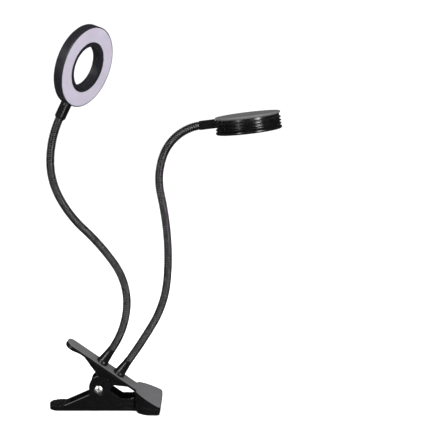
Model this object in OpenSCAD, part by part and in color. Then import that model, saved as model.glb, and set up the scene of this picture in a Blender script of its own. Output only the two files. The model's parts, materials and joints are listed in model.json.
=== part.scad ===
// LED grow light: a spring clamp that carries two goosenecks, one with a ring head and one with a disc head.
// +Z is up, +X runs towards the jaws, and -Y is the side with the pivot screw's head.
// The origin is on the floor under the pivot, in the middle of the clamp's flat underside.

/* [Clamp] */
// Width of both levers
lever_w = 20; // [18:1:24]
// Thickness of the levers' plates and walls
wall = 2.4; // [2:0.1:2.8]
// Height of the pivot above the floor
pivot_z = 22.5; // [21:0.5:27]
// Slope of the upper lever's plate below level
plate_a = 36; // [33:1:38]
// Distance from the pivot to the top of the upper plate
plate_h = 23; // [21:0.5:27]
// Length of the upper lever from the pivot to its thumb end
thumb_l = 55; // [46:1:66]
// Length of the lower lever from the pivot to its thumb end
foot_l = 52; // [44:1:62]
// Reach from the pivot to the lip of the jaws
jaw_reach = 64; // [56:1:78]
// Width of the jaws at the lip
jaw_w = 50; // [40:1:60]
// Width of the jaws where they leave the levers
jaw_rear_w = 27; // [22:1:36]
// Height of the closed line between the jaws
part_z = 7.5; // [7:0.25:9]
// Thickness of each rubber jaw pad
pad_t = 1.8; // [1.5:0.1:2.1]

/* [Pivot and spring] */
// Thread diameter of the pivot screw
screw_d = 4; // [3:0.5:4]
// Diameter of the pivot screw's pan head
screw_head_d = 8.6; // [7.5:0.1:10]
// Outer diameter of the sleeve that the upper lever turns on
sleeve_d = 7; // [6:0.5:7.5]
// Width across the flats of the pivot nut
nut_af = 7; // [6:0.5:8]
// Wire diameter of the torsion spring
spring_wire = 1.5; // [1.2:0.1:1.6]
// Whole turns in the torsion spring
spring_turns = 4; // [3:1:4]

/* [Goosenecks] */
// Outer diameter of the goosenecks
neck_d = 7.2; // [6:0.2:8.2]
// Bore of the goosenecks, for their leads
neck_bore = 4.8; // [4:0.2:5.2]
// Spacing of the two goosenecks along the plate
neck_pitch = 21; // [19:1:26]
// Length of the rubber boots
boot_l = 18.5; // [16:0.5:24]
// Diameter of the boots at the plate
boot_d = 12.4; // [12:0.2:14]
// Thickness of a boot's wall at its tip
boot_tip_wall = 0.7; // [0.5:0.1:1]

/* [Ring head] */
// Outer diameter of the ring head
ring_d = 83; // [69:1:100]
// Diameter of the hole through the ring head
ring_hole_d = 42; // [34:1:50]
// Thickness of the ring head
ring_t = 10.5; // [10:0.25:13]
// Wall thickness of both heads' shells
shell = 1.6; // [1.2:0.1:1.8]
// Turn of the ring's face about its neck, towards the front
ring_turn = 18; // [0:1:60]
// Lamps on the ring's board
ring_leds_n = 24; // [12:2:36]

/* [Disc head] */
// Outer diameter of the disc head's fins
disc_d = 65; // [54:1:78]
// Thickness of the disc head
disc_t = 17; // [15:0.5:20]
// Depth of the grooves between the fins
fin_depth = 1.5; // [1:0.25:2.5]

/* [Connectors] */
// Wall of the blocks round the necks that they join to the heads
block_wall = 0.75; // [0.6:0.05:1]
// Length of the ring head's block
ring_block_l = 17; // [14:0.5:21]
// Length of the disc head's block
disc_block_l = 16; // [13:0.5:20]

/* [Hidden] */
$fn = 64;

play = 0.3;   // gap between pieces that move past each other
run = 0.05;   // radial clearance of a running or a seated fit
touch = 0.02; // gap between faces that rest on each other

// Clamp
ear_t = 2.6;                             // thickness of the lower lever's ears
ear_in = lever_w / 2 - ear_t;            // inner face of an ear
skirt_out = ear_in - play;               // outer face of the upper lever's skirts
skirt_in = skirt_out - wall;             // their inner face
plate_under = plate_h - wall;            // pivot to the underside of the plate
jaw_x0 = 38;                             // rear of the jaws
ear_r = 11;                              // radius of the ears' round tops
thumb_t = 5.4;                           // height of the lower thumb pad
head_sink = 1.4;                         // how deep the screw head sits in its ear
nut_sink = 1.4;                          // how deep the nut sits in the other ear
nut_t = 3.2;
head_h = 2.4;
pocket = [22, 3, 14, 5, 0.6];            // shallow pocket in the lower lever's sides: x, z, length, height, depth
thumb_r = 8;                             // corners of the plate's thumb end
thumb_drop = 1.8;                        // how much thicker the plate is there

// Supply inlet
inlet_w = 16.9;                          // off the pivot, towards the plate
inlet_r = 2.25;                          // bore of the grommet
inlet_hole_r = 3.1;
inlet_boss_r = 4.2;
flange_t = 1.2;

// Goosenecks: each row is [length, turn to the right, lean away from the front] of one link
neck_in = 2.5;                           // how far a neck goes into its boot and its block
ring_rows = [[48, -30, 0], [50, -40, 0], [46, -12, 0], [41, 19, 4], [38, 28, 5], [44.5, 23, 5]];
disc_rows = [[50, -6, 0], [46, -24, 0], [46, -10, 0], [44, -8, 0], [40, 33, 0], [50, 62, 0]];
ring_u = -13;                            // the ring's neck on the plate, from the pivot
disc_u = ring_u + neck_pitch;            // the disc's neck
inlet_u = ring_u - 10;                   // the supply inlet, clear of the ring neck's nut
stud_r = 3;                              // thread of the neck's end fitting
stud_below = 5;                          // how far it stands out under the plate
stud_af = 2 * skirt_in - 0.4;            // across the flats of its nut, between the skirts
stud_nut_t = 3;
stud_flange_r = 5.1;
stud_flange_t = 1.5;
lead_r = 0.9;                            // one lead

// Heads
bezel_t = 1.8;                           // height of the bezels over the ring's housing
bezel_w = 1;                             // width of their face
bezel_slope = 4.2;                       // width of the inner bezel's slope down to the bore
bezel_drop = 0.8;                        // how far that slope goes down
diffuser_t = 1.5;
board_t = 1.2;
standoff = 1;                            // board over the back wall
led_side = 3;
led_h = 0.9;
screw_r = 1.05;                          // small self-tapping screws
block_w = neck_d + 2 * block_wall;       // width of the blocks
block_corner = 1.4;
cap_t = 2.6;                             // disc head's top cap
lens_ring_t = 3.4;
lens_ring_over = 0.2;                    // how far the lens ring stands out past the fins
lens_t = 1.6;
fins_n = 3;                              // fins between the cap and the lens ring
disc_seat = 3;                           // how far the disc's neck is from its middle, towards the cap

// ---- Placing ----

function shift(v) = [[1, 0, 0, v[0]], [0, 1, 0, v[1]], [0, 0, 1, v[2]], [0, 0, 0, 1]];
function turn_y(a) = [[cos(a), 0, sin(a), 0], [0, 1, 0, 0], [-sin(a), 0, cos(a), 0], [0, 0, 0, 1]];
function turn_z(a) = [[cos(a), -sin(a), 0, 0], [sin(a), cos(a), 0, 0], [0, 0, 1, 0], [0, 0, 0, 1]];

// A link of a neck: its bend, the plane of the bend, its radius, and the frame at its end
function bend(row) = norm([row[1], row[2]]);
function plane(row) = atan2(row[2], row[1]);
function radius(row) = row[0] / (bend(row) * PI / 180);
function arc_end(row) = shift([radius(row) * (1 - cos(bend(row))), 0, radius(row) * sin(bend(row))])
    * turn_y(bend(row));
function link_end(row) = turn_z(plane(row)) * arc_end(row) * turn_z(-plane(row));

// The frame on the plate's top at u along it, with +Z square to the plate
function on_plate(u) = shift([0, 0, pivot_z]) * turn_y(plate_a) * shift([u, 0, plate_h]);
// The frame where link i of a neck starts
function neck_frame(u, rows, i) = i == 0 ? on_plate(u) * shift([0, 0, boot_l - neck_in])
    : neck_frame(u, rows, i - 1) * link_end(rows[i - 1]);
// The frame in the middle of a head: +Z is where its light goes, +X points back at its neck
function head_frame(u, rows, turn, reach) = neck_frame(u, rows, len(rows)) * turn_z(-turn)
    * shift([0, 0, reach - neck_in]) * turn_y(90);

module at_lever() translate([0, 0, pivot_z]) rotate([0, plate_a, 0]) children();
module on_ring() multmatrix(head_frame(ring_u, ring_rows, ring_turn, ring_block_l + ring_d / 2)) children();
module on_disc() multmatrix(head_frame(disc_u, disc_rows, 0, disc_block_l + disc_d / 2) * shift([0, 0, disc_seat])) children();

// A side view drawn in X and Z, made solid from y0 to y1
module side(y0, y1) translate([0, y1, 0]) rotate([90, 0, 0]) linear_extrude(y1 - y0) children();
// Both of a pair at +Y and -Y
module pair() {
    children();
    mirror([0, 1, 0]) children();
}
// A cylinder along Y
module cross_pin(r, y0, y1, fn = $fn) translate([0, y0, 0]) rotate([-90, 0, 0]) cylinder(r = r, h = y1 - y0, $fn = fn);
module rounded(w, h, r) {
    square([w - 2 * r, h], center = true);
    square([w, h - 2 * r], center = true);
    for (x = [-1, 1], y = [-1, 1]) translate([x * (w / 2 - r), y * (h / 2 - r)]) circle(r = r);
}
module band(r_in, r_out, z0, z1) translate([0, 0, z0]) linear_extrude(z1 - z0) difference() {
    circle(r = r_out);
    circle(r = r_in);
}

// ---- Clamp ----

// Top view of the jaws: the sides swell from the rear to the lip, inset all round by inset
jaw_step = (jaw_w - jaw_rear_w) / 2;
jaw_l = jaw_reach - jaw_x0;
jaw_side_r = (jaw_l * jaw_l + jaw_step * jaw_step) / (2 * jaw_step);
module jaw_plan(inset, x1 = jaw_reach) intersection() {
    translate([jaw_reach, jaw_w / 2 - jaw_side_r]) circle(r = jaw_side_r - inset, $fn = 128);
    translate([jaw_reach, jaw_side_r - jaw_w / 2]) circle(r = jaw_side_r - inset, $fn = 128);
    translate([(jaw_x0 + x1) / 2, 0]) rounded(x1 - jaw_x0 - 2 * inset, jaw_w - 2 * inset, 3);
}

// The slope of the upper jaw's top, from the plate's end down to the lip
lip_z = part_z + 1.6;
plate_end_u = (jaw_x0 + 1 - plate_h * sin(plate_a)) / cos(plate_a);
plate_end_z = pivot_z + plate_h * cos(plate_a) - plate_end_u * sin(plate_a);
function jaw_top(x) = lip_z + (plate_end_z - lip_z) * (jaw_reach - x) / (jaw_reach - jaw_x0 - 1);

// Side view of an ear and the wall that runs each way from it
module ear_outline() {
    translate([ear_x, ear_z]) circle(r = ear_r);
    polygon([[-foot_l + 13, 0], [-foot_l + 13, wall + 1.4], [ear_x - ear_r, pivot_z - 5.5], [ear_x - ear_r, ear_z],
        [ear_x + ear_r * 0.9, ear_z - ear_r * 0.43], [23, 12.8], [33, 12.8], [jaw_x0 - 2, 14], [jaw_x0 - 2, 0]]);
}
ear_x = 1.4;
ear_z = pivot_z + 3.6;

module lower_lever() color("#141415") difference() {
    union() {
        // floor, with a round thumb end and its raised pad
        translate([-foot_l + lever_w / 2, -lever_w / 2, 0]) cube([foot_l - lever_w / 2 + jaw_x0 + 2, lever_w, wall]);
        translate([-foot_l + lever_w / 2, 0, 0]) cylinder(r = lever_w / 2, h = thumb_t);
        translate([-foot_l + lever_w / 2, -lever_w / 2, 0]) cube([9, lever_w, thumb_t]);
        pair() side(ear_in, lever_w / 2) ear_outline();
        // jaw tray, round at the bottom
        intersection() {
            linear_extrude(part_z - 0.1) jaw_plan(0);
            union() {
                for (x = [jaw_x0 + 5, jaw_reach - 5]) translate([x, 0, 5]) cross_pin(5, -jaw_w, jaw_w);
                translate([jaw_x0 + 5, -jaw_w, 0]) cube([jaw_l - 10, 2 * jaw_w, 5]);
                translate([jaw_x0, -jaw_w, 5]) cube([jaw_l, 2 * jaw_w, part_z]);
            }
            union() {
                for (s = [-1, 1]) translate([0, s * (jaw_w / 2 - 5), 5]) rotate([0, 90, 0])
                    cylinder(r = 5, h = 2 * jaw_reach);
                translate([0, -jaw_w / 2 + 5, 0]) cube([2 * jaw_reach, jaw_w - 10, 5]);
                translate([0, -jaw_w / 2, 5]) cube([2 * jaw_reach, jaw_w, part_z]);
            }
        }
    }
    translate([0, 0, part_z - 0.1 - pad_t]) linear_extrude(pad_t + 1) jaw_plan(1.6);
    pair() translate([pocket[0], lever_w / 2 - pocket[4], pocket[1]]) cube([pocket[2], lever_w, pocket[3]]);
    // grips across the thumb pad
    for (i = [0:3]) translate([-foot_l + 5 + 3.2 * i, 0, thumb_t]) rotate([0, 45, 0]) cube([1, 2 * lever_w, 1], center = true);
    translate([0, 0, pivot_z]) {
        cross_pin(screw_d / 2 + run, -lever_w, lever_w);
        cross_pin(screw_head_d / 2 + 1.2, -lever_w, -lever_w / 2 + head_sink);
        cross_pin(nut_af / 2 / cos(30) + play, lever_w / 2 - nut_sink, lever_w, 6);
    }
}

module lower_jaw_pad() color("#222224") pad(part_z - 0.1 - pad_t + touch, part_z - 0.1, part_z - 0.1, jaw_reach);
module upper_jaw_pad() color("#222224") pad(part_z + 0.1, part_z + 0.1 + pad_t - touch, part_z + 0.1, pad_end);
// A rubber pad with grooves across its gripping face at z_face
module pad(z0, z1, z_face, x1) difference() {
    translate([0, 0, z0]) linear_extrude(z1 - z0) jaw_plan(1.6 + run, x1);
    for (x = [jaw_x0 + 5 : 3 : x1 - 4]) translate([x, 0, z_face]) cube([1, 2 * jaw_w, 1], center = true);
}
pad_end = jaw_reach - 4;

// Side view of the upper lever's skirt, in the lever's own frame: it hangs from the plate and holds the pivot
skirt_r = 8;
module skirt_outline() {
    circle(r = skirt_r);
    polygon([[-33, plate_under - 0.6], [-33, plate_under + 0.5], [24, plate_under + 0.5], [24, plate_under - 0.4],
        [10, 12.3], [7.4, 3], [-7.4, 3], [-10.5, 11.9]]);
}

// Top view of the plate, with a round-cornered thumb end
module plate_plan() {
    translate([-thumb_l + thumb_r, -lever_w / 2]) square([thumb_l - thumb_r + plate_end_u + 1, lever_w]);
    translate([-thumb_l, -lever_w / 2 + thumb_r]) square([thumb_r + 1, lever_w - 2 * thumb_r]);
    for (s = [-1, 1]) translate([-thumb_l + thumb_r, s * (lever_w / 2 - thumb_r)]) circle(r = thumb_r);
}

module upper_lever() color("#161617") difference() {
    union() {
        at_lever() {
            // plate, thicker at its thumb end
            intersection() {
                translate([0, 0, plate_under - thumb_drop]) linear_extrude(wall + thumb_drop) plate_plan();
                side(-lever_w, lever_w) polygon([[-thumb_l - 1, plate_h + 1], [-thumb_l - 1, plate_under - thumb_drop + 1],
                    [-thumb_l + 2, plate_under - thumb_drop], [-thumb_l + 9, plate_under - thumb_drop],
                    [-thumb_l + 18, plate_under], [plate_end_u + 2, plate_under], [plate_end_u + 2, plate_h + 1]]);
            }
            pair() side(skirt_in, skirt_out) skirt_outline();
            // webs between the skirts at both ends of the channel
            for (u = [-30, 17]) translate([u, -skirt_in - 0.5, plate_under - 2.4]) cube([wall, 2 * skirt_in + 1, 3]);
            // boss for the supply grommet on the far skirt
            translate([inlet_u, 0, inlet_w]) {
                cross_pin(inlet_boss_r, skirt_in, lever_w / 2);
                translate([-inlet_boss_r, skirt_in, 0]) cube([2 * inlet_boss_r, lever_w / 2 - skirt_in, plate_under - inlet_w + 0.5]);
            }
            pair() cross_pin(sleeve_d / 2 + 2, skirt_in - 0.3, skirt_in + 0.5);
        }
        // jaw: a wedge under the end of the plate
        intersection() {
            side(-jaw_w, jaw_w) polygon([[jaw_x0 - 0.5, part_z + 0.1], [jaw_reach, part_z + 0.1], [jaw_reach, lip_z],
                [jaw_x0 + 1, plate_end_z], [jaw_x0 - 0.5, plate_end_z - 1]]);
            translate([0, 0, part_z]) linear_extrude(2 * pivot_z) jaw_plan(0);
        }
    }
    // pad seat and the hollow of the jaw above it
    translate([0, 0, part_z]) linear_extrude(0.1 + pad_t) jaw_plan(1.6, pad_end);
    intersection() {
        side(-jaw_w, jaw_w) polygon([[jaw_x0 + wall, part_z], [pad_end - 6, part_z], [pad_end - 6, jaw_top(pad_end - 6) - wall - 0.6],
            [jaw_x0 + wall, jaw_top(jaw_x0 + wall) - wall - 0.6]]);
        linear_extrude(2 * pivot_z) jaw_plan(wall + 1.5);
    }
    at_lever() {
        cross_pin(sleeve_d / 2 + run, -lever_w, lever_w);
        for (u = [ring_u, disc_u]) translate([u, 0, 0]) cylinder(r = stud_r + run, h = 2 * plate_h);
        translate([inlet_u, 0, inlet_w]) cross_pin(inlet_hole_r, 0, lever_w);
    }
}

// ---- Pivot ----

module pivot_screw() color("#c8c8c6") translate([0, 0, pivot_z]) difference() {
    head_y = -lever_w / 2 + head_sink - touch;
    union() {
        cross_pin(screw_d / 2, head_y - 0.5, lever_w / 2 - nut_sink + nut_t + 0.8);
        intersection() {
            cross_pin(screw_head_d / 2, head_y - head_h, head_y);
            translate([0, head_y + 2.2 * head_h, 0]) sphere(r = 3.2 * head_h, $fn = 96);
        }
    }
    // cross recess
    for (a = [0, 90]) rotate([0, a + 20, 0]) translate([0, head_y - head_h, 0])
        cube([screw_head_d * 0.52, 2.2, 1], center = true);
    translate([0, head_y - head_h, 0]) cross_pin(1.1, -1, 1.6);
}

module pivot_nut() color("#b9b9b6") translate([0, 0, pivot_z]) difference() {
    nut_y = lever_w / 2 - nut_sink + touch;
    cross_pin(nut_af / 2 / cos(30), nut_y, nut_y + nut_t, 6);
    cross_pin(screw_d / 2 + run, 0, lever_w);
}

module pivot_sleeve() color("#a9a9a4") translate([0, 0, pivot_z]) difference() {
    cross_pin(sleeve_d / 2, -ear_in + run, ear_in - run);
    cross_pin(screw_d / 2 + run, -lever_w, lever_w);
}

// Torsion spring: a leg on the lower lever's floor, the coil round the sleeve, a leg under the plate
coil_r = sleeve_d / 2 + spring_wire / 2 + 0.8;
foot_tip = [-26, wall + spring_wire / 2 + 0.15 - pivot_z];
plate_tip_u = ring_u - 14;               // past the ring neck's stud and nut
plate_tip_w = plate_under - spring_wire / 2 - 0.25;
plate_tip = [plate_tip_u * cos(plate_a) + plate_tip_w * sin(plate_a), plate_tip_w * cos(plate_a) - plate_tip_u * sin(plate_a)];
function tangent_at(tip, s) = atan2(tip[1], tip[0]) + s * acos(coil_r / norm(tip));
spring_a0 = tangent_at(foot_tip, 1);
spring_a1 = tangent_at(plate_tip, -1);
spring_sweep = 360 * spring_turns + (spring_a1 - spring_a0 + 720) % 360;
spring_w = (spring_sweep / 360) * (spring_wire + 0.12);
function coil_point(t) = let (a = spring_a0 + spring_sweep * t)
    [coil_r * cos(a), spring_w * (0.5 - t), coil_r * sin(a)];
spring_steps = 22 * spring_turns;
spring_route = concat([[foot_tip[0], spring_w / 2, foot_tip[1]]], [for (i = [0 : spring_steps]) coil_point(i / spring_steps)],
    [[plate_tip[0], -spring_w / 2, plate_tip[1]]]);

// A round rod swept along points that lie mostly square to Y
function unit(v) = v / norm(v);
function along(p, i) = unit(p[min(i + 1, len(p) - 1)] - p[max(i - 1, 0)]);
function ring_of(p, i, r, n) = let (t = along(p, i), a = unit(cross(t, [0, 1, 0.001])), b = cross(t, a))
    [for (k = [0 : n - 1]) p[i] + r * (cos(360 * k / n) * a + sin(360 * k / n) * b)];
module rod(p, r, n = 8) polyhedron(
    points = [for (i = [0 : len(p) - 1]) each ring_of(p, i, r, n)],
    faces = concat([[for (k = [0 : n - 1]) k]], [[for (k = [n - 1 : -1 : 0]) (len(p) - 1) * n + k]],
        [for (i = [0 : len(p) - 2], k = [0 : n - 1]) [i * n + k, i * n + n + k, i * n + n + (k + 1) % n, i * n + (k + 1) % n]]),
    convexity = 8);

module torsion_spring() color("#8f9092") translate([0, 0, pivot_z]) rod(spring_route, spring_wire / 2);

// ---- Supply inlet ----

module cable_grommet() color("#1c1c1d") at_lever() translate([inlet_u, 0, inlet_w]) difference() {
    union() {
        cross_pin(inlet_hole_r - run, skirt_in - 1.5, lever_w / 2 + 0.5);
        cross_pin(inlet_hole_r + 1.1, lever_w / 2 + touch, lever_w / 2 + flange_t);
        cross_pin(inlet_hole_r + 0.5, skirt_in - 1.5, skirt_in - 0.3 - touch);
    }
    cross_pin(inlet_r, 0, lever_w);
}

stud_end_w = plate_under - stud_below;
lead_mid = skirt_in - 4.7;               // middle of the two leads, behind the grommet's inner end
// Two leads in the channel, from behind the grommet to the ends of the two studs
module supply_leads() color("#7a1f1f") at_lever() for (arm = [[ring_u, -1], [disc_u, 1]])
    rod([[inlet_u + arm[1], lead_mid + 1.5 * arm[1], inlet_w - 0.8],
        [inlet_u + 1 + arm[1], lead_mid + 1.8 * arm[1], inlet_w - 1.6],
        [(inlet_u + arm[0]) / 2, 1.5 * arm[1], stud_end_w - 2.3], [arm[0] - 2, 0, stud_end_w - 2.6], [arm[0] - 0.4, 0, stud_end_w - 1.8],
        [arm[0], 0, stud_end_w - 0.5]], lead_r);

// ---- Goosenecks ----

module neck_boot(u) color("#131314") multmatrix(on_plate(u)) difference() {
    union() {
        translate([0, 0, touch]) cylinder(r1 = boot_d / 2, r2 = boot_d / 2 - 0.4, h = 3);
        translate([0, 0, 3]) cylinder(r1 = boot_d / 2 - 0.4, r2 = neck_d / 2 + boot_tip_wall, h = boot_l - 3);
    }
    translate([0, 0, -1]) cylinder(r = neck_d / 2 + 2 * run, h = 2 * boot_l);
    translate([0, 0, -1]) cylinder(r = stud_flange_r + run, h = 1 + stud_flange_t + touch);
}

module neck_stud(u) color("#9a9a98") multmatrix(on_plate(u)) difference() {
    union() {
        translate([0, 0, -wall - stud_below]) cylinder(r = stud_r, h = wall + stud_below + 1);
        translate([0, 0, touch]) cylinder(r = stud_flange_r, h = stud_flange_t);
        cylinder(r = neck_d / 2, h = boot_l - neck_in - touch);
    }
    translate([0, 0, -wall - stud_below - 1]) cylinder(r = neck_bore / 2 - 0.4, h = 3 * boot_l);
}

module neck_nut(u) color("#b0b0ad") multmatrix(on_plate(u)) difference() {
    translate([0, 0, -wall - touch - stud_nut_t]) cylinder(r = stud_af / 2 / cos(30), h = stud_nut_t, $fn = 6);
    translate([0, 0, -wall - 2 * stud_nut_t]) cylinder(r = stud_r + run, h = 4 * stud_nut_t);
}

// Link i of a neck: a bent tube with a ball at its far end and a cup at its near end
module neck_link(u, rows, i) color("#1b1b1d") difference() {
    row = rows[i];
    union() {
        multmatrix(neck_frame(u, rows, i) * turn_z(plane(row)) * [[-1, 0, 0, radius(row)], [0, 0, 1, 0], [0, 1, 0, 0], [0, 0, 0, 1]])
            rotate_extrude(angle = bend(row), $fn = 180) translate([radius(row), 0]) difference() {
                circle(r = neck_d / 2, $fn = 48);
                circle(r = neck_bore / 2, $fn = 48);
            }
        if (i < len(rows) - 1) multmatrix(neck_frame(u, rows, i + 1)) difference() {
            sphere(r = neck_d / 2 - play);
            cylinder(r = neck_bore / 2 - 0.5, h = 2 * neck_d, center = true);
        }
    }
    if (i > 0) multmatrix(neck_frame(u, rows, i)) sphere(r = neck_d / 2 + play);
}

// The block between a neck and its head: the neck goes into one end, and a bore takes its leads through
module neck_block(head_r, l) color("#151516") difference() {
    union() {
        intersection() {
            translate([head_r - 3, 0, 0]) rotate([0, 90, 0]) linear_extrude(l + 3) rounded(block_w, block_w, block_corner);
            union() {
                translate([head_r - 4, -block_w, -block_w]) cube([l + 4 - 1.5, 2 * block_w, 2 * block_w]);
                translate([head_r + l - 2, 0, 0]) rotate([0, 90, 0]) cylinder(r1 = block_w / 2 + 1.2, r2 = block_w / 2 - 0.5, h = 2);
            }
        }
        translate([head_r + 0.6, 0, 0]) rotate([0, 90, 0]) cylinder(r = block_w / 2 + 0.25, h = 2);
    }
    cylinder(r = head_r + touch, h = 2 * block_w, center = true, $fn = 180);
    translate([head_r + l - neck_in - 0.2, 0, 0]) rotate([0, 90, 0]) cylinder(r = neck_d / 2 + 2 * run, h = neck_in + 1);
    translate([head_r - 1, 0, 0]) rotate([0, 90, 0]) cylinder(r = neck_bore / 2 - 0.6, h = l);
}

// ---- Ring head ----

ring_ro = ring_d / 2;
ring_ri = ring_hole_d / 2;
ring_back = -ring_t / 2;
ring_front = ring_t / 2 - bezel_t;       // top of the housing's walls
ring_mid = (ring_ro + ring_ri) / 2;
ring_board_z = ring_back + shell + standoff;

module ring_rear_housing() color("#29292d") on_ring() difference() {
    union() {
        rotate_extrude($fn = 180) polygon([[ring_ri, ring_back + 0.8], [ring_ri + 0.8, ring_back], [ring_ro - 1.2, ring_back],
            [ring_ro, ring_back + 1.2], [ring_ro, ring_front], [ring_ro - shell, ring_front], [ring_ro - shell, ring_back + shell],
            [ring_ri + shell, ring_back + shell], [ring_ri + shell, ring_front], [ring_ri, ring_front]]);
        ring_of_four() translate([0, 0, ring_back + shell - 0.5]) cylinder(r = 2.4, h = standoff + 0.5 - touch);
    }
    ring_of_four() {
        translate([0, 0, ring_back - 1]) cylinder(r = screw_r + run, h = ring_t);
        translate([0, 0, ring_back - 1]) cylinder(r = 2.1, h = 1.8);
    }
    block_hole(ring_ro);
    // groove round the bore, and the notches of its snaps
    band(ring_ri - 1, ring_ri + 0.4, -0.3, 0.3);
    for (a = [60 : 120 : 300]) rotate([0, 0, a]) translate([ring_ri, 0, ring_front - 2]) cube([1, 1, 4 * ring_t], center = true);
}
module ring_of_four() for (a = [45 : 90 : 315]) rotate([0, 0, a]) translate([ring_mid, 0, 0]) children();
module block_hole(r) translate([r - 3 * shell, 0, 0]) rotate([0, 90, 0]) cylinder(r = neck_bore / 2 - 0.6, h = 4 * shell);

module ring_outer_bezel() color("#232327") on_ring() rotate_extrude($fn = 180) polygon([[ring_ro - shell - run, ring_front - 1],
    [ring_ro - shell - run, ring_front + touch], [ring_ro, ring_front + touch], [ring_ro, ring_t / 2 - 0.4],
    [ring_ro - 0.4, ring_t / 2], [ring_ro - bezel_w, ring_t / 2], [ring_ro - bezel_w, ring_t / 2 - diffuser_t - 0.1],
    [ring_ro - shell - 1, ring_t / 2 - diffuser_t - 0.1], [ring_ro - shell - 1, ring_front - 1]]);
module ring_inner_bezel() color("#232327") on_ring() rotate_extrude($fn = 180) polygon([[ring_ri + shell + run, ring_front - 1],
    [ring_ri + shell + run, ring_front + touch], [ring_ri, ring_front + touch], [ring_ri, ring_t / 2 - bezel_drop],
    [ring_ri + bezel_slope, ring_t / 2],
    [ring_ri + bezel_slope + 0.6, ring_t / 2], [ring_ri + bezel_slope + 0.6, ring_t / 2 - diffuser_t - 0.1],
    [ring_ri + shell + 1, ring_t / 2 - diffuser_t - 0.1], [ring_ri + shell + 1, ring_front - 1]]);
module ring_diffuser() color("#a59fae") on_ring()
    band(ring_ri + bezel_slope + 0.6 + run, ring_ro - bezel_w - run, ring_t / 2 - 0.1 - diffuser_t + touch, ring_t / 2 - 0.1);
module ring_led_board() color("#e8e8e4") on_ring() difference() {
    band(ring_ri + shell + 1.6, ring_ro - shell - 1.6, ring_board_z, ring_board_z + board_t);
    ring_of_four() translate([0, 0, ring_back]) cylinder(r = screw_r + run, h = ring_t);
}
module ring_leds() color("#f0e9c0") on_ring() for (i = [0 : ring_leds_n - 1]) rotate([0, 0, 360 / ring_leds_n * (i + 0.5)])
    translate([ring_mid, 0, ring_board_z + board_t + touch + led_h / 2]) cube([led_side, led_side, led_h], center = true);
module ring_screws() color("#b5b5b2") on_ring() ring_of_four() {
    translate([0, 0, ring_back + 0.1]) cylinder(r = 2, h = 0.65);
    translate([0, 0, ring_back + 0.5]) cylinder(r = screw_r, h = shell + standoff + board_t - 0.6);
}

// ---- Disc head ----

disc_r = disc_d / 2;
disc_back = -disc_t / 2;
body_z0 = disc_back + cap_t;             // under the cap
body_z1 = disc_t / 2 - lens_ring_t;      // over the lens ring
fin_pitch = (body_z1 - body_z0) / (fins_n + 0.5);
body_floor = body_z0 + 2.2;              // inside of the body's end wall
disc_in = disc_r - fin_depth - shell;    // inner radius of the body
disc_board_z = body_floor + touch;

module disc_housing() color("#1a1a1c") on_disc() difference() {
    union() {
        translate([0, 0, body_z0]) cylinder(r = disc_r - fin_depth, h = body_z1 - body_z0, $fn = 180);
        for (i = [0 : fins_n - 1]) translate([0, 0, body_z0 + fin_pitch * (i + 0.5)]) fin();
        neck_flat(disc_r);
    }
    translate([0, 0, body_floor]) cylinder(r = disc_in, h = disc_t, $fn = 180);
    ring_of_three() translate([0, 0, body_floor - 1.6]) cylinder(r = screw_r, h = disc_t);
    translate([0, 0, -disc_seat]) block_hole(disc_r - fin_depth);
}
// One cooling fin: a disc whose rim slopes to an edge
module fin() rotate_extrude($fn = 180) polygon([[disc_r - fin_depth - 0.6, 0], [disc_r - 0.5, 0.35 * fin_pitch], [disc_r, 0.5 * fin_pitch],
    [disc_r, 0.62 * fin_pitch], [disc_r - 0.5, 0.75 * fin_pitch], [disc_r - fin_depth - 0.6, fin_pitch]]);
// A flat land across the fins where the block seats
module neck_flat(r) intersection() {
    translate([r - fin_depth - 1, 0, -disc_seat]) rotate([0, 90, 0]) linear_extrude(fin_depth + 1) rounded(block_w, block_w, block_corner);
    translate([0, 0, body_z0]) cylinder(r = r, h = body_z1 - body_z0, $fn = 180);
}
module ring_of_three() for (a = [60 : 120 : 300]) rotate([0, 0, a]) translate([disc_in - 4, 0, 0]) children();

module disc_top_cap() color("#5a5a5c") on_disc() {
    rotate_extrude($fn = 180) polygon([[0, disc_back], [disc_r - 0.8, disc_back], [disc_r, disc_back + 0.7],
        [disc_r, disc_back + 1.3], [disc_r - fin_depth, disc_back + cap_t - touch], [0, disc_back + cap_t - touch]]);
}
module disc_lens_ring() color("#18181a") on_disc() rotate_extrude($fn = 180) polygon([
    [disc_in + 0.4, body_z1 + touch], [disc_r - fin_depth, body_z1 + touch], [disc_r + lens_ring_over, body_z1 + 1.2],
    [disc_r + lens_ring_over, disc_t / 2 - 0.9], [disc_r + lens_ring_over - 0.9, disc_t / 2],
    [disc_in + 0.4, disc_t / 2]]);
module disc_lens() color("#f06ee6") on_disc() band(0, disc_in + 0.4 - run, disc_t / 2 - 0.4 - lens_t, disc_t / 2 - 0.4);
module disc_led_board() color("#e8e8e4") on_disc() difference() {
    translate([0, 0, disc_board_z]) cylinder(r = disc_in - 0.5, h = board_t, $fn = 180);
    ring_of_three() cylinder(r = screw_r + run, h = 2 * disc_t, center = true);
    // notch for the leads
    translate([disc_in - 2, -2, disc_back]) cube([3, 4, disc_t]);
}
module disc_leds() color("#d94fd0") on_disc() for (k = [0 : 3], i = [0 : max(0, 6 * k - 1)])
    rotate([0, 0, k == 0 ? 0 : 60 / k * (i + 0.5)]) translate([6.2 * k, 0, disc_board_z + board_t + touch + led_h / 2])
        cube([led_side, led_side, led_h], center = true);
module disc_screws() color("#b5b5b2") on_disc() ring_of_three() {
    translate([0, 0, body_floor - 1.4]) cylinder(r = screw_r - run, h = 1.4 + board_t + 0.3);
    translate([0, 0, disc_board_z + board_t + touch]) cylinder(r = 1.9, h = 1);
}

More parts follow.
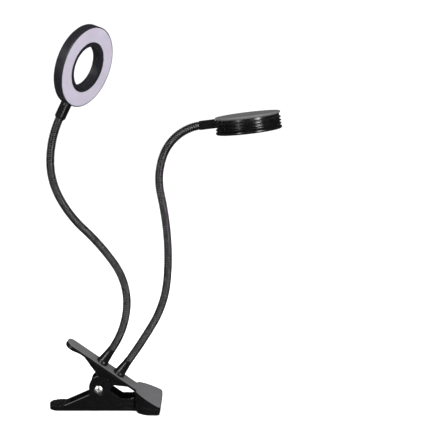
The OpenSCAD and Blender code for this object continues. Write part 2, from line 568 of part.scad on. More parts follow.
lower_lever();
upper_lever();
lower_jaw_pad();
upper_jaw_pad();
pivot_screw();
pivot_nut();
pivot_sleeve();
torsion_spring();
cable_grommet();
supply_leads();
neck_boot(ring_u);  // ring_neck_boot
neck_boot(disc_u);  // disc_neck_boot
neck_stud(ring_u);  // ring_neck_stud
neck_stud(disc_u);  // disc_neck_stud
neck_nut(ring_u);  // ring_neck_nut
neck_nut(disc_u);  // disc_neck_nut
on_ring() neck_block(ring_ro, ring_block_l);  // ring_neck_block
on_disc() translate([0, 0, -disc_seat]) neck_block(disc_r, disc_block_l);  // disc_neck_block
for (i = [0 : 5]) {
    neck_link(ring_u, ring_rows, i);
    neck_link(disc_u, disc_rows, i);
}
ring_rear_housing();
ring_outer_bezel();
ring_inner_bezel();
ring_diffuser();
ring_led_board();
ring_leds();
ring_screws();
disc_housing();
disc_top_cap();
disc_lens_ring();
disc_lens();
disc_led_board();
disc_leds();
disc_screws();
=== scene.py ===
"""Looks of a clip-on LED grow light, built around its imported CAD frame.

A spring clamp carries two goosenecks. One ends in a ring head, the other in a finned disc head whose
lamp is lit.
"""

import json
import math

import bpy
import numpy as np
from mathutils import Matrix, Vector

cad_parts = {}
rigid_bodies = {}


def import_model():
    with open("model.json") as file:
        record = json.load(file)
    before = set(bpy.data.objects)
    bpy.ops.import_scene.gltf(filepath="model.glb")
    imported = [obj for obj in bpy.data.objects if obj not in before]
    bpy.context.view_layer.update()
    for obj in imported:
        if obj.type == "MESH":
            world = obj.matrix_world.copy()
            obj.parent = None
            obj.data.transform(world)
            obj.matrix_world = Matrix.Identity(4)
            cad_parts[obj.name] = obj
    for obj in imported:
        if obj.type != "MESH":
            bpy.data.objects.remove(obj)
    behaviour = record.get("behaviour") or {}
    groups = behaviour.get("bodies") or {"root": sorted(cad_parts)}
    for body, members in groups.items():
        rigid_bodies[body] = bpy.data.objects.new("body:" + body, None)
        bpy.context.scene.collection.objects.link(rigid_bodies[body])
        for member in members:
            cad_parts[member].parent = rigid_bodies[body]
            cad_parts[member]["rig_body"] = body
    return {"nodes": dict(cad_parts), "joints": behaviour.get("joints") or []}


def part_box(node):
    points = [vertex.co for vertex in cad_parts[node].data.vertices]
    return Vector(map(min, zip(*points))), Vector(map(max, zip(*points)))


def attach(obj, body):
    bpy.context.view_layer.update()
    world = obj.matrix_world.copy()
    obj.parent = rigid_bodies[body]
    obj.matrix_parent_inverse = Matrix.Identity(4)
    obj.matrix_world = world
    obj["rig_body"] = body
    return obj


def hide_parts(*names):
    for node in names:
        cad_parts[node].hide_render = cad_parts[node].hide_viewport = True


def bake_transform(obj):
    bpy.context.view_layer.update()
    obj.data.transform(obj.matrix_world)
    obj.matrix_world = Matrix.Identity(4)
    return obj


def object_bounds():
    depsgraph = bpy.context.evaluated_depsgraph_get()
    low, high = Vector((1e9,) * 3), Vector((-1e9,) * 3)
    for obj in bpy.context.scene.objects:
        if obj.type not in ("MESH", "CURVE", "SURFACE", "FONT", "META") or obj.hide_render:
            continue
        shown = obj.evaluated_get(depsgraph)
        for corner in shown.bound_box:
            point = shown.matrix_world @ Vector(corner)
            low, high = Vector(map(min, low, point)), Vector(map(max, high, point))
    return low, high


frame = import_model()
cad_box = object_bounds()
nodes = frame["nodes"]
joints = {joint["name"]: joint for joint in frame["joints"]}
MM = 0.001

# ---- Levers ----
# Injection-moulded black ABS, one body each. A mould leaves no sharp edge, so each piece is a copy of its
# CAD solid with its edges eased. The sides come out glossy, and the tops, which are spark-textured, duller.
# The tops are also given a lighter grey colour, which is painted light: it stands in for the light from
# above.


def take(*objects):
    """Selects only these objects, the first of them active."""
    bpy.ops.object.select_all(action="DESELECT")
    for obj in objects:
        obj.select_set(True)
    bpy.context.view_layer.objects.active = objects[0]


def work(obj, kind, **settings):
    """Adds one modifier to a piece and applies it."""
    take(obj)
    modifier = obj.modifiers.new(kind.title(), kind)
    for setting, value in settings.items():
        setattr(modifier, setting, value)
    bpy.ops.object.modifier_apply(modifier=modifier.name)


def copy_of(node, name, quads=False):
    """A copy of a CAD solid as one clean skin: its triangles merged, then joined into flat faces or quads."""
    piece = bpy.data.objects.new(name, nodes[node].data.copy())
    bpy.context.collection.objects.link(piece)
    piece.data.materials.clear()
    take(piece)
    bpy.ops.mesh.customdata_custom_splitnormals_clear()
    bpy.ops.object.mode_set(mode="EDIT")
    bpy.ops.mesh.select_all(action="SELECT")
    bpy.ops.mesh.remove_doubles(threshold=0.002 * MM)
    if quads:
        bpy.ops.mesh.tris_convert_to_quads()
    else:
        bpy.ops.mesh.dissolve_limited(angle_limit=math.radians(0.5))
    bpy.ops.object.mode_set(mode="OBJECT")
    return piece


def eased(node, name, edge):
    """A copy of a CAD solid with its corners rounded over by edge."""
    corner = math.radians(30)
    crease = math.radians(34)
    piece = copy_of(node, name)
    work(piece, "BEVEL", width=edge, segments=2, limit_method="ANGLE", angle_limit=corner,
         use_clamp_overlap=True, miter_outer="MITER_ARC", loop_slide=False)
    take(piece)
    bpy.ops.object.shade_smooth_by_angle(angle=crease)
    # the large faces stay flat, and only the rounded edges turn the light
    work(piece, "WEIGHTED_NORMAL", mode="FACE_AREA", weight=90, keep_sharp=True)
    return piece


def fit(piece, slot, finish, *stood_for):
    """Gives a piece its finish and puts it on the body of the CAD nodes it stands for."""
    piece.data.materials.clear()
    piece.data.materials.append(finish)
    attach(piece, nodes[stood_for[0]]["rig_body"])
    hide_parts(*stood_for)


def add(tree, kind, inputs=None, **settings):
    """Adds a shader node; an input that is a socket is linked, and any other is set."""
    made = tree.nodes.new(kind)
    for setting, value in settings.items():
        setattr(made, setting, value)
    for socket, value in (inputs or {}).items():
        if isinstance(value, bpy.types.NodeSocket):
            tree.links.new(value, made.inputs[socket])
        else:
            made.inputs[socket].default_value = value
    return made


def noise(tree, place, scale, **settings):
    """Cloudy noise, about one over scale metres from crest to crest."""
    return add(tree, "ShaderNodeTexNoise", {"Vector": place, "Scale": scale, **settings}).outputs[0]


def ramp(tree, value, start, end, low, high):
    """A value that runs from low to high as another runs from start to end."""
    return add(tree, "ShaderNodeMapRange", {0: value, 1: start, 2: end, 3: low, 4: high}).outputs[0]


def maths(tree, operation, *values):
    """One number worked out from others."""
    return add(tree, "ShaderNodeMath", dict(enumerate(values)), operation=operation).outputs[0]


def covered(tree, mask, under, over):
    """The colour under where the mask is 0, and the colour over where it is 1."""
    return add(tree, "ShaderNodeMix", {0: mask, 6: under, 7: over}, data_type="RGBA").outputs[2]


def effect(name, outputs, **inputs):
    """An empty node group with number inputs and named outputs: the tree, its inputs and its outputs."""
    tree = bpy.data.node_groups.new(name, "ShaderNodeTree")
    for label, value in inputs.items():
        given = tree.interface.new_socket(label, in_out="INPUT", socket_type="NodeSocketFloat")
        given.default_value = value
    for label in outputs:
        tree.interface.new_socket(label, in_out="OUTPUT", socket_type="NodeSocketFloat")
    return tree, tree.nodes.new("NodeGroupInput").outputs, tree.nodes.new("NodeGroupOutput").inputs


def spark_texture():
    """The height of a spark-eroded mould's pits, and the slow change of tone left by the plastic's flow."""
    tree, given, out = effect("spark_texture", ["Height", "Tone"], Pits=2500.0, Flow=40.0)
    place = add(tree, "ShaderNodeTexCoord").outputs["Object"]
    tree.links.new(noise(tree, place, given["Pits"], Detail=2.0, Roughness=0.65), out["Height"])
    tree.links.new(noise(tree, place, given["Flow"], Detail=4.0, Roughness=0.55), out["Tone"])
    return tree


def worn_and_highlit_edges():
    """1 on the edges that hands and shelves rub, and along which a painted highlight runs, broken up into
    short stretches, and 0 elsewhere.
    """
    # the lighter edges that this mask gives are rubbing and a painted highlight both
    edge_starts = 0.995  # how well the true normal and the rounded one agree at the wear's border
    edge_full = 0.9
    patch_scale = 260.0
    patch_border = 0.62
    patch_full = 0.4
    tree, given, out = effect("worn_and_highlit_edges", ["Mask"], Width=0.0006, Reach=0.5)
    rounded = add(tree, "ShaderNodeBevel", {"Radius": given["Width"]}, samples=6).outputs[0]
    true = add(tree, "ShaderNodeNewGeometry").outputs["Normal"]
    facing = add(tree, "ShaderNodeVectorMath", {0: rounded, 1: true}, operation="DOT_PRODUCT")
    edge = ramp(tree, facing.outputs["Value"], edge_starts, edge_full, 0.0, 1.0)
    place = add(tree, "ShaderNodeTexCoord").outputs["Object"]
    patches = noise(tree, place, patch_scale, Detail=5.0, Roughness=0.7)
    kept = ramp(tree, patches, patch_border, patch_full, 0.0, given["Reach"])
    tree.links.new(maths(tree, "MULTIPLY", edge, kept), out["Mask"])
    return tree


def handling():
    """Marks of use: smears that change the gloss, hairline scratches, and specks of dust."""
    smear_scale = 55.0
    hair_scale = 900.0
    hair_foot = 0.7  # only the crests of the drawn-out noise show, as thin lines
    hair_crest = 0.76
    speck_scale = 420.0
    speck_border = 0.1
    speck_core = 0.04
    tree, given, out = effect("handling", ["Smear", "Scratch", "Dust"], Size=1.0)
    place = add(tree, "ShaderNodeTexCoord").outputs["Object"]
    scaling = {0: place, "Scale": given["Size"]}
    sized = add(tree, "ShaderNodeVectorMath", scaling, operation="SCALE").outputs[0]
    tree.links.new(noise(tree, sized, smear_scale, Detail=6.0, Distortion=1.2), out["Smear"])
    lines = []
    for turn, stretch in ((0.5, 0.04), (-0.9, 0.06)):
        drawn_out = add(tree, "ShaderNodeMapping", {"Vector": sized, "Rotation": (turn, turn * 0.7, turn),
                                                    "Scale": (1, stretch, 1)}).outputs[0]
        hair = noise(tree, drawn_out, hair_scale, Detail=1.0)
        lines.append(ramp(tree, hair, hair_foot, hair_crest, 0.0, 1.0))
    tree.links.new(maths(tree, "MAXIMUM", *lines), out["Scratch"])
    specks = add(tree, "ShaderNodeTexVoronoi", {"Vector": sized, "Scale": speck_scale}).outputs["Distance"]
    tree.links.new(ramp(tree, specks, speck_border, speck_core, 0.0, 1.0), out["Dust"])
    return tree


effects = {"spark": spark_texture(), "worn_and_highlit": worn_and_highlit_edges(), "handling": handling()}


def moulding(name, colour, roughness, worn_and_highlit=0.5, worn_and_highlight_colour=(0.09, 0.09, 0.092), pits=2500.0, depth=0.02,
             width=0.0006, smear=0.12, dust=0.10, **fixed):
    """A moulded or painted finish, with the mould's texture, lighter edges and handling.

    worn_and_highlit is how much of the edges is lightened, by rubbing and by a painted highlight, width
    how far in from them, and depth the pits' in millimetres.
    """
    dust_colour = (0.35, 0.33, 0.3, 1)
    scratch_rough = 0.12
    scratch_relief = -0.5  # in pit depths
    smear_low = 0.3
    smear_high = 0.7
    made = bpy.data.materials.new(name)
    made.use_nodes = True
    tree = made.node_tree
    surface = tree.nodes["Principled BSDF"]
    for socket, value in fixed.items():
        surface.inputs[socket.replace("_", " ")].default_value = value
    texture = add(tree, "ShaderNodeGroup", node_tree=effects["spark"])
    texture.inputs["Pits"].default_value = pits
    edges = add(tree, "ShaderNodeGroup", node_tree=effects["worn_and_highlit"])
    edges.inputs["Width"].default_value = width
    edges.inputs["Reach"].default_value = worn_and_highlit
    marks = add(tree, "ShaderNodeGroup", node_tree=effects["handling"])
    # colour: the plastic's flow, then lighter edges, which are rubbing and a painted highlight, then dust
    light = [min(1.0, c * 1.35 + 0.0005) for c in colour]
    base = covered(tree, texture.outputs["Tone"], (*colour, 1), (*light, 1))
    rubbed_and_highlit = covered(tree, edges.outputs[0], base, (*worn_and_highlight_colour, 1))
    specks = maths(tree, "MULTIPLY", marks.outputs["Dust"], dust)
    tree.links.new(covered(tree, specks, rubbed_and_highlit, dust_colour), surface.inputs["Base Color"])
    # roughness: smears change it both ways, and scratches raise it
    smoothest = roughness - smear / 2
    roughest = roughness + smear / 2
    smeared = ramp(tree, marks.outputs["Smear"], smear_low, smear_high, smoothest, roughest)
    scratched = maths(tree, "MULTIPLY_ADD", marks.outputs["Scratch"], scratch_rough, smeared)
    tree.links.new(scratched, surface.inputs["Roughness"])
    # relief: pits, with the scratches cut in
    relief = maths(tree, "MULTIPLY_ADD", marks.outputs["Scratch"], scratch_relief, texture.outputs["Height"])
    bump = add(tree, "ShaderNodeBump", {"Height": relief, "Distance": depth * MM, "Strength": 1.0})
    tree.links.new(bump.outputs[0], surface.inputs["Normal"])
    return made


gloss_abs = moulding("gloss_black_abs", (0.0014, 0.0014, 0.0016), 0.22, worn_and_highlit=0.35,
                     worn_and_highlight_colour=(0.05, 0.05, 0.052), Specular_IOR_Level=0.3)
# painted light: the grey colour of this finish stands in for the light falling on the tops from above
spark_abs_painted_lit = moulding("spark_textured_abs_painted_lit", (0.052, 0.052, 0.053), 0.6, pits=1500.0, depth=0.07, worn_and_highlit=0.3,
                     worn_and_highlight_colour=(0.2, 0.2, 0.2), Specular_IOR_Level=0.4)

lever_edge = 0.45 * MM
# the spark texture and its lighter grey, which is painted light, are on the faces that look up, such as the
# sloping plate, the jaw and the ledges beside the thumb pad: how far those of each lever lean towards +X, in
# degrees
texture_and_painted_lit_lean = {"lower": -18, "upper": 36}
same_way = 0.97
for half, lean in texture_and_painted_lit_lean.items():
    lever = eased(f"{half}_lever", f"{half}_lever_moulding", lever_edge)
    fit(lever, "clamp_plastic", gloss_abs, f"{half}_lever")
    lever.data.materials.append(spark_abs_painted_lit)
    up = Vector((math.sin(math.radians(lean)), 0, math.cos(math.radians(lean))))
    for face in lever.data.polygons:
        face.material_index = int(face.normal.dot(up) > same_way)

# ---- Jaw pads ----
# Soft black rubber, pressed into a seat in each jaw. Their cross grooves are in the CAD solids.

soft_rubber = moulding("pad_rubber", (0.016, 0.016, 0.017), 0.78, worn_and_highlit=0.1, pits=3500.0, depth=0.03, dust=0.3,
                       Specular_IOR_Level=0.3)
for half in ("lower", "upper"):
    pad = eased(f"{half}_jaw_pad", f"{half}_grip_pad", 0.2 * MM)
    fit(pad, "pad_rubber", soft_rubber, f"{half}_jaw_pad")

# ---- Pivot ----
# A nickel-plated pan-head screw with a cross recess, its nut, and the steel sleeve that the upper lever
# turns on.

nickel = moulding("bright_nickel", (0.55, 0.545, 0.53), 0.36, worn_and_highlit=0.0, pits=1800.0, depth=0.004, dust=0.05,
                  Metallic=1.0)
dull_steel = moulding("zinced_steel", (0.4, 0.4, 0.39), 0.38, worn_and_highlit=0.0, pits=1500.0, depth=0.008,
                      Metallic=1.0)
fit(eased("pivot_screw", "pan_head_screw", 0.12 * MM), "screw_nickel", nickel, "pivot_screw")
fit(eased("pivot_nut", "hex_nut", 0.25 * MM), "screw_nickel", nickel, "pivot_nut")
fit(eased("pivot_sleeve", "turning_sleeve", 0.15 * MM), "fitting_steel", dull_steel, "pivot_sleeve")

# ---- Torsion spring ----
# Round spring steel wire, wound round the sleeve. One leg presses on the lower lever's floor and one under
# the plate.

spring_steel = moulding("spring_steel", (0.3, 0.3, 0.31), 0.33, worn_and_highlit=0.0, pits=900.0, depth=0.006,
                        Metallic=1.0)


def rounded_rod(node, name):
    """A copy of a CAD rod of eight flats, subdivided until its wire is round."""
    piece = copy_of(node, name, quads=True)
    work(piece, "SUBSURF", levels=1, render_levels=1)
    take(piece)
    bpy.ops.object.shade_smooth()
    return piece


spring = rounded_rod("torsion_spring", "wound_spring")
spring.data.materials.append(spring_steel)
low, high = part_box("torsion_spring")
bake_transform(spring)
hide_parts("torsion_spring")

# ---- Supply inlet and leads ----
# A rubber grommet in the far skirt, for a 4 mm cable, and the two leads that go from it to the necks.

fit(eased("cable_grommet", "inlet_grommet", 0.3 * MM), "boot_rubber", soft_rubber, "cable_grommet")
lead_pvc = moulding("lead_insulation", (0.16, 0.012, 0.01), 0.42, worn_and_highlit=0.0, depth=0.01)
fit(rounded_rod("supply_leads", "supply_lead_pair"), "lead_insulation", lead_pvc, "supply_leads")

# ---- Neck fittings ----
# A zinced stud ends each neck. Its nut holds it under the plate, and a soft rubber boot covers it on top. The
# boot is a round moulding: a cuff on the plate, a long taper, and a rolled lip round the neck.


def axis_of(node):
    """The middle and direction of a CAD solid that is long and round, and its reach both ways along it."""
    points = np.unique(np.round([tuple(v.co) for v in nodes[node].data.vertices], 6), axis=0)
    middle = points.mean(0)
    direction = np.linalg.svd(points - middle, full_matrices=False)[2][0]
    reach = (points - middle) @ direction
    return Vector(middle), Vector(direction), float(reach.min()), float(reach.max())


def turned(name, profile, start, along):
    """A round piece: a circle drawn out through each (distance along, radius) of its profile, and closed."""
    bpy.ops.object.select_all(action="DESELECT")
    bpy.ops.mesh.primitive_circle_add(vertices=48, radius=profile[0][1], fill_type="NGON",
                                      location=(0, 0, profile[0][0]))
    piece = bpy.context.object
    piece.name = name
    bpy.ops.object.transform_apply(location=True)
    bpy.ops.object.mode_set(mode="EDIT")
    bpy.ops.mesh.select_all(action="SELECT")
    for (z0, r0), (z1, r1) in zip(profile, profile[1:]):
        bpy.ops.mesh.extrude_region_move(TRANSFORM_OT_translate={"value": (0, 0, z1 - z0)})
        bpy.ops.transform.resize(value=(r1 / r0, r1 / r0, 1), center_override=(0, 0, z1))
    bpy.ops.mesh.select_all(action="SELECT")
    bpy.ops.mesh.normals_make_consistent(inside=False)
    bpy.ops.object.mode_set(mode="OBJECT")
    piece.matrix_world = Matrix.Translation(start) @ along.to_track_quat("Z", "Y").to_matrix().to_4x4()
    take(piece)
    bpy.ops.object.transform_apply(location=True, rotation=True, scale=True)
    bpy.ops.object.shade_smooth_by_angle(angle=math.radians(40))
    return piece


boot_rubber = moulding("boot_rubber", (0.0014, 0.0014, 0.0016), 0.27, worn_and_highlit=0.1, pits=3000.0, depth=0.012,
                       Specular_IOR_Level=0.4)
arms = {}
for arm in ("ring", "disc"):
    centre, out, low, high = axis_of(f"{arm}_neck_boot")
    first = Vector(joints[f"{arm}_bend_1"]["pos_m"])
    if out.dot(first - centre) < 0:
        out, low, high = -out, -high, -low
    plate = centre + out * low
    length = high - low
    points = np.array([tuple(v.co) for v in nodes[f"{arm}_neck_boot"].data.vertices]) - np.array(plate)
    heights = points @ np.array(out)
    radii = np.linalg.norm(points - np.outer(heights, out), axis=1)
    cuff, lip = radii.max(), radii[heights > length - 0.05 * MM].max()
    foot = 2.9 * MM
    run = length - 5.1 * MM
    narrowing = lip - cuff + 0.35 * MM
    taper = [(0.05 * MM, cuff - 0.35 * MM), (0.35 * MM, cuff), (2.4 * MM, cuff - 0.1 * MM),
             (foot, cuff - 0.5 * MM)]
    for step in range(1, 8):
        share = step / 8
        taper.append((foot + share * run, cuff - 0.5 * MM + share * narrowing))
    taper += [(length - 1.9 * MM, lip - 0.12 * MM), (length - 1.5 * MM, lip), (length - 0.4 * MM, lip),
              (length - 0.05 * MM, lip - 0.3 * MM)]
    boot = turned(f"{arm}_boot_sleeve", taper, plate, out)
    fit(boot, "boot_rubber", boot_rubber, f"{arm}_neck_boot")
    stud = eased(f"{arm}_neck_stud", f"{arm}_stud_fitting", 0.15 * MM)
    fit(stud, "fitting_steel", dull_steel, f"{arm}_neck_stud")
    nut = eased(f"{arm}_neck_nut", f"{arm}_stud_nut", 0.2 * MM)
    fit(nut, "fitting_steel", dull_steel, f"{arm}_neck_nut")
    arms[arm] = {"out": out, "tip": plate + out * length}

# ---- Goosenecks ----
# Black lacquered steel wire wound close round a core, so a neck bends anywhere and stays. Each is wound
# straight, cut in the middle of every CAD link, and bent along the neck's line.

neck_lacquer = moulding("neck_lacquer", (0.0014, 0.0014, 0.0016), 0.28, worn_and_highlit=0.0, pits=700.0, depth=0.02,
                        smear=0.15, Specular_IOR_Level=1.0)
neck_r = 3.6 * MM
pitch = 2.1 * MM
wire_r = 1.05 * MM
wire_flat = 0.34  # the wire is rolled to this share of its round height
core_r = neck_r - wire_r * wire_flat
hidden = 2.5 * MM  # how far the neck runs on inside its boot and its block
straight = 1e-4  # a bend of fewer radians than this counts as none


def bent_line(arm):
    """The neck's line: its knots, and the direction at each, as arcs that run smoothly into each other."""
    centre, along, low, high = axis_of(f"{arm}_neck_block")
    last = Vector(joints[f"{arm}_bend_5"]["pos_m"])
    if along.dot(last - centre) < 0:
        along, low, high = -along, -high, -low
    knots = [arms[arm]["tip"] - arms[arm]["out"] * hidden]
    knots += [Vector(joints[f"{arm}_bend_{i}"]["pos_m"]) for i in range(1, 6)]
    knots.append(centre + along * (high - hidden))
    ways = [arms[arm]["out"]]
    for a, b in zip(knots, knots[1:]):
        chord = (b - a).normalized()
        ways.append(2 * ways[-1].dot(chord) * chord - ways[-1])
    return knots, ways


def neck_curve(arm, knots, ways):
    """A curve object along the neck's line, one smooth arc from each knot to the next."""
    line = bpy.data.curves.new(f"{arm}_line", "CURVE")
    line.dimensions = "3D"
    line.resolution_u = 48
    spline = line.splines.new("BEZIER")
    spline.bezier_points.add(len(knots) - 1)
    for i, (point, knot, way) in enumerate(zip(spline.bezier_points, knots, ways)):
        point.co = knot
        reaches = []
        for j in (i - 1, i + 1):
            if not 0 <= j < len(knots):
                reaches.append(5 * MM)
                continue
            chord = (knots[j] - knot).length
            bend = 2 * way.angle(knots[j] - knot if j > i else knot - knots[j])
            if bend > straight:
                reaches.append(chord / 2 / math.sin(bend / 2) * 4 / 3 * math.tan(bend / 4))
            else:
                reaches.append(chord / 3)
        point.handle_left = knot - way * reaches[0]
        point.handle_right = knot + way * reaches[1]
    curve = bpy.data.objects.new(f"{arm}_line", line)
    bpy.context.collection.objects.link(curve)
    return curve


def arc_length(a, b, way):
    """The length of the arc that leaves a in the direction way and ends at b."""
    chord = (b - a).length
    half = way.angle(b - a)
    return chord * half / math.sin(half) if half > straight else chord


def wound(name, turns):
    """A straight stretch of neck from the origin up +Z: wire wound that many turns round a core."""
    wire_sides = 8
    core_sides = 24
    height = turns * pitch
    bpy.ops.object.select_all(action="DESELECT")
    bpy.ops.mesh.primitive_circle_add(vertices=wire_sides, radius=wire_r, fill_type="NOTHING",
                                      rotation=(math.pi / 2, 0, 0), location=(core_r, 0, 0),
                                      scale=(wire_flat, 1, 1))
    piece = bpy.context.object
    piece.name = name
    bpy.ops.object.transform_apply(location=True, rotation=True, scale=True)
    work(piece, "SCREW", angle=2 * math.pi, screw_offset=pitch, iterations=turns, steps=core_sides,
         render_steps=core_sides, use_normal_calculate=True, use_smooth_shade=True)
    bpy.ops.object.mode_set(mode="EDIT")
    bpy.ops.mesh.select_all(action="SELECT")
    bpy.ops.mesh.fill_holes(sides=wire_sides)
    bpy.ops.mesh.select_all(action="SELECT")
    bpy.ops.mesh.normals_make_consistent(inside=False)
    bpy.ops.object.mode_set(mode="OBJECT")
    bpy.ops.mesh.primitive_cylinder_add(vertices=core_sides, radius=core_r, depth=height,
                                        location=(0, 0, height / 2))
    core = bpy.context.object
    bpy.ops.object.transform_apply(location=True)
    # the core's long edges are cut once a turn, so that it bends with its wire
    bpy.ops.object.mode_set(mode="EDIT")
    bpy.ops.mesh.select_all(action="DESELECT")
    bpy.ops.mesh.select_mode(type="EDGE")
    bpy.ops.object.mode_set(mode="OBJECT")
    for edge in core.data.edges:
        a, b = (core.data.vertices[i].co for i in edge.vertices)
        edge.select = abs(a.z - b.z) > height / 2
    bpy.ops.object.mode_set(mode="EDIT")
    bpy.ops.mesh.subdivide(number_cuts=turns)
    bpy.ops.object.mode_set(mode="OBJECT")
    take(piece, core)
    bpy.ops.object.join()
    return piece


for arm in ("ring", "disc"):
    knots, ways = bent_line(arm)
    curve = neck_curve(arm, knots, ways)
    # the distance along the neck at each knot, and the cuts in whole turns: both ends, and the middle of
    # links 2 to 5
    at = [0.0]
    for a, b, way in zip(knots, knots[1:], ways):
        at.append(at[-1] + arc_length(a, b, way))
    cuts = [0] + [round((at[i] + at[i + 1]) / 2 / pitch) for i in range(1, 5)] + [round(at[6] / pitch)]
    stretch = at[6] / (cuts[-1] * pitch)
    for k in range(5):
        piece = wound(f"{arm}_gooseneck_{k + 1}", cuts[k + 1] - cuts[k])
        lifted = Matrix.Translation((0, 0, cuts[k] * pitch * stretch))
        piece.matrix_world = lifted @ Matrix.Diagonal((1, 1, stretch, 1))
        take(piece)
        bpy.ops.object.transform_apply(location=True, rotation=True, scale=True)
        work(piece, "CURVE", object=curve, deform_axis="POS_Z")
        piece.data.materials.append(neck_lacquer)
        take(piece)
        bpy.ops.object.shade_smooth_by_angle(angle=math.radians(60))
        knot, way = knots[k + 1], ways[k + 1]
        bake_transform(piece)
        stands = [f"{arm}_neck_{k + 1}"] + ([f"{arm}_neck_6"] if k == 4 else [])
        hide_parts(*stands)
    bpy.data.objects.remove(curve)

# ---- Neck blocks ----
# Black ABS blocks with eased corners. The neck goes into one end, a bore takes its leads, and the other end
# is seated on the head's rim.

for arm in ("ring", "disc"):
    block = eased(f"{arm}_neck_block", f"{arm}_joining_block", 0.35 * MM)
    fit(block, "block_plastic", gloss_abs, f"{arm}_neck_block")

# ---- Ring head ----
# A moulded grey-black housing, closed by two thin bezels that hold an annular diffuser. Under the diffuser
# lie the lamp board and its chips, and four small screws hold the board from the back.

ring_abs = moulding("ring_black_abs", (0.005, 0.005, 0.0065), 0.3, worn_and_highlit=0.3, worn_and_highlight_colour=(0.07, 0.07, 0.08),
                    pits=2200.0, depth=0.02, Specular_IOR_Level=0.5)
milky = moulding("milky_acrylic", (0.2, 0.185, 0.225), 0.45, worn_and_highlit=0.2, worn_and_highlight_colour=(0.25, 0.23, 0.27),
                 pits=1600.0, depth=0.012, smear=0.1, dust=0.08, Subsurface_Weight=0.15,
                 Subsurface_Scale=0.002)
board_mask = moulding("white_solder_mask", (0.7, 0.7, 0.68), 0.4, worn_and_highlit=0.0, depth=0.006)
chip_yellow = moulding("phosphor_chips", (0.75, 0.6, 0.16), 0.35, worn_and_highlit=0.0, depth=0.004)
for node, name, edge, slot, finish in (
    ("ring_rear_housing", "ring_housing_shell", 0.3, "ring_plastic", ring_abs),
    ("ring_outer_bezel", "ring_rim_bezel", 0.12, "ring_plastic", ring_abs),
    ("ring_inner_bezel", "ring_bore_bezel", 0.12, "ring_plastic", ring_abs),
    ("ring_diffuser", "ring_milky_diffuser", 0.2, "ring_diffuser", milky),
    ("ring_led_board", "ring_lamp_board", 0.08, "board_white", board_mask),
    ("ring_leds", "ring_lamp_chips", 0.1, "led_chips", chip_yellow),
    ("ring_screws", "ring_board_screws", 0.08, "screw_nickel", nickel),
):
    fit(eased(node, name, edge * MM), slot, finish, node)

# ---- Disc head ----
# A glossy black body, ribbed all round like a heat sink, with a satin cap on top and a flange that holds the
# lens. The lens glows magenta from the red and blue chips behind it.

fin_black = moulding("ribbed_black_abs", (0.0014, 0.0014, 0.0016), 0.24, worn_and_highlit=0.3,
                     worn_and_highlight_colour=(0.04, 0.04, 0.042), pits=1400.0, depth=0.01, width=0.0004,
                     Specular_IOR_Level=0.5)
cap_grey = moulding("cap_satin_abs", (0.05, 0.05, 0.051), 0.5, worn_and_highlit=0.3, worn_and_highlight_colour=(0.2, 0.2, 0.2),
                    pits=1800.0, depth=0.03, Specular_IOR_Level=0.4)
lens_glow = moulding("lit_lens", (0.8, 0.25, 0.75), 0.25, worn_and_highlit=0.0, depth=0.01, Emission_Strength=4.0,
                     Emission_Color=(0.87, 0.14, 0.79, 1))
chip_magenta = moulding("lit_chips", (0.8, 0.2, 0.7), 0.3, worn_and_highlit=0.0, depth=0.004, Emission_Strength=8.0,
                        Emission_Color=(0.9, 0.1, 0.8, 1))
for node, name, edge, slot, finish in (
    ("disc_housing", "disc_finned_body", 0.15, "disc_casing", fin_black),
    ("disc_top_cap", "disc_cap_plate", 0.25, "cap_plastic", cap_grey),
    ("disc_lens_ring", "disc_lens_flange", 0.3, "disc_plastic", fin_black),
    ("disc_lens", "disc_lit_lens", 0.2, "disc_lens", lens_glow),
    ("disc_led_board", "disc_lamp_board", 0.08, "board_white", board_mask),
    ("disc_leds", "disc_lamp_chips", 0.1, "led_lit", chip_magenta),
    ("disc_screws", "disc_board_screws", 0.08, "screw_nickel", nickel),
):
    fit(eased(node, name, edge * MM), slot, finish, node)

# ---- Studio ----
# A pale floor that curves up all round into a backdrop, so no edge shows from any side. Two tall soft boxes
# draw the thin lights down the necks, and one large box hangs overhead.

floor_r = 3.0
bend_r = 2.0
bend_steps = 12
step_turn = 7.0


def floor_disc():
    """Adds a flat round floor; in edit mode it joins the mesh that is open."""
    bpy.ops.mesh.primitive_circle_add(vertices=96, radius=floor_r, fill_type="NGON", location=(0, 0, 0))


bpy.ops.object.select_all(action="DESELECT")
floor_disc()
sweep = bpy.context.object
sweep.name = "studio_sweep"
bpy.ops.object.mode_set(mode="EDIT")
bpy.ops.mesh.select_all(action="SELECT")
for step in range(1, bend_steps + 1):
    turn = math.radians(step * step_turn)
    turn_before = math.radians((step - 1) * step_turn)
    rise = bend_r * (math.cos(turn_before) - math.cos(turn))
    grow = (floor_r + bend_r * math.sin(turn)) / (floor_r + bend_r * math.sin(turn_before))
    bpy.ops.mesh.extrude_region_move(TRANSFORM_OT_translate={"value": (0, 0, rise)})
    bpy.ops.transform.resize(value=(grow, grow, 1))
bpy.ops.mesh.delete(type="FACE")
floor_disc()
bpy.ops.mesh.select_all(action="SELECT")
bpy.ops.mesh.remove_doubles(threshold=1 * MM)
bpy.ops.mesh.normals_make_consistent(inside=False)
bpy.ops.object.mode_set(mode="OBJECT")
bpy.ops.object.shade_smooth()
paper = bpy.data.materials.new("studio_paper")
paper.use_nodes = True
surface = paper.node_tree.nodes["Principled BSDF"]
surface.inputs["Base Color"].default_value = (0.9, 0.9, 0.9, 1)
surface.inputs["Roughness"].default_value = 0.95
surface.inputs["Specular IOR Level"].default_value = 0.0
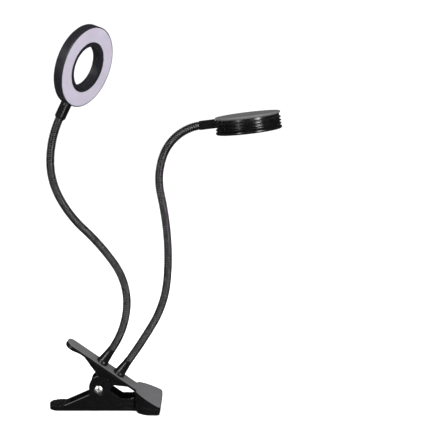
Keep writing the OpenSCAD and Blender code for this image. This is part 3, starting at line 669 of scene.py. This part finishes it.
# to glossy rays the paper shows a dark colour instead, a painted dark reflection, so what the glossy
# pieces mirror of it is dark
painted_dark_reflection = add(paper.node_tree, "ShaderNodeEmission", {"Color": (0.05, 0.05, 0.052, 1), "Strength": 1.0})
ray = add(paper.node_tree, "ShaderNodeLightPath")
mirrored = add(paper.node_tree, "ShaderNodeMixShader",
               {0: ray.outputs["Is Glossy Ray"], 1: surface.outputs[0], 2: painted_dark_reflection.outputs[0]})
paper.node_tree.links.new(mirrored.outputs[0], paper.node_tree.nodes["Material Output"].inputs["Surface"])
sweep.data.materials.append(paper)

world = bpy.data.worlds.new("studio")
bpy.context.scene.world = world
world.use_nodes = True
room = world.node_tree.nodes["Background"]
room.inputs["Color"].default_value = (1, 1, 1, 1)
ray = add(world.node_tree, "ShaderNodeLightPath")
seen_level = 1.0
mirrored_level = 0.05
level = ramp(world.node_tree, ray.outputs["Is Glossy Ray"], 0.0, 1.0, seen_level, mirrored_level)
world.node_tree.links.new(level, room.inputs["Strength"])

middle = (cad_box[0] + cad_box[1]) / 2


def soft_box(name, place, size, watts, aim, mirrored=True):
    """A rectangular studio light at place, turned to aim, which glossy pieces may mirror."""
    lamp = bpy.data.lights.new(name, "AREA")
    lamp.shape = "RECTANGLE"
    lamp.size, lamp.size_y = size
    lamp.energy = watts
    holder = bpy.data.objects.new(name, lamp)
    bpy.context.collection.objects.link(holder)
    holder.location = place
    holder.rotation_euler = (Vector(aim) - Vector(place)).to_track_quat("-Z", "Y").to_euler()
    holder.visible_glossy = mirrored


soft_box("overhead_box", (0.1, -0.3, 2.0), (1.4, 1.4), 50, middle, mirrored=False)
soft_box("left_strip", (-1.05, -1.6, 0.7), (0.4, 1.9), 34, middle)
soft_box("right_strip", (1.15, -1.45, 0.7), (0.5, 1.9), 56, middle)

camera_data = bpy.data.cameras.new("camera")
camera_data.lens = 73.7
camera_data.sensor_width = 36
camera_data.clip_end = 50
camera = bpy.data.objects.new("camera", camera_data)
bpy.context.collection.objects.link(camera)
aim = Vector((0.1170, 0, 0.2058))
distance = 0.870
tilt = math.radians(10)
camera.location = aim + distance * Vector((0, -math.cos(tilt), math.sin(tilt)))
camera.rotation_euler = (math.pi / 2 - tilt, 0, 0)
bpy.context.scene.camera = camera
bpy.context.scene.view_settings.view_transform = "Standard"
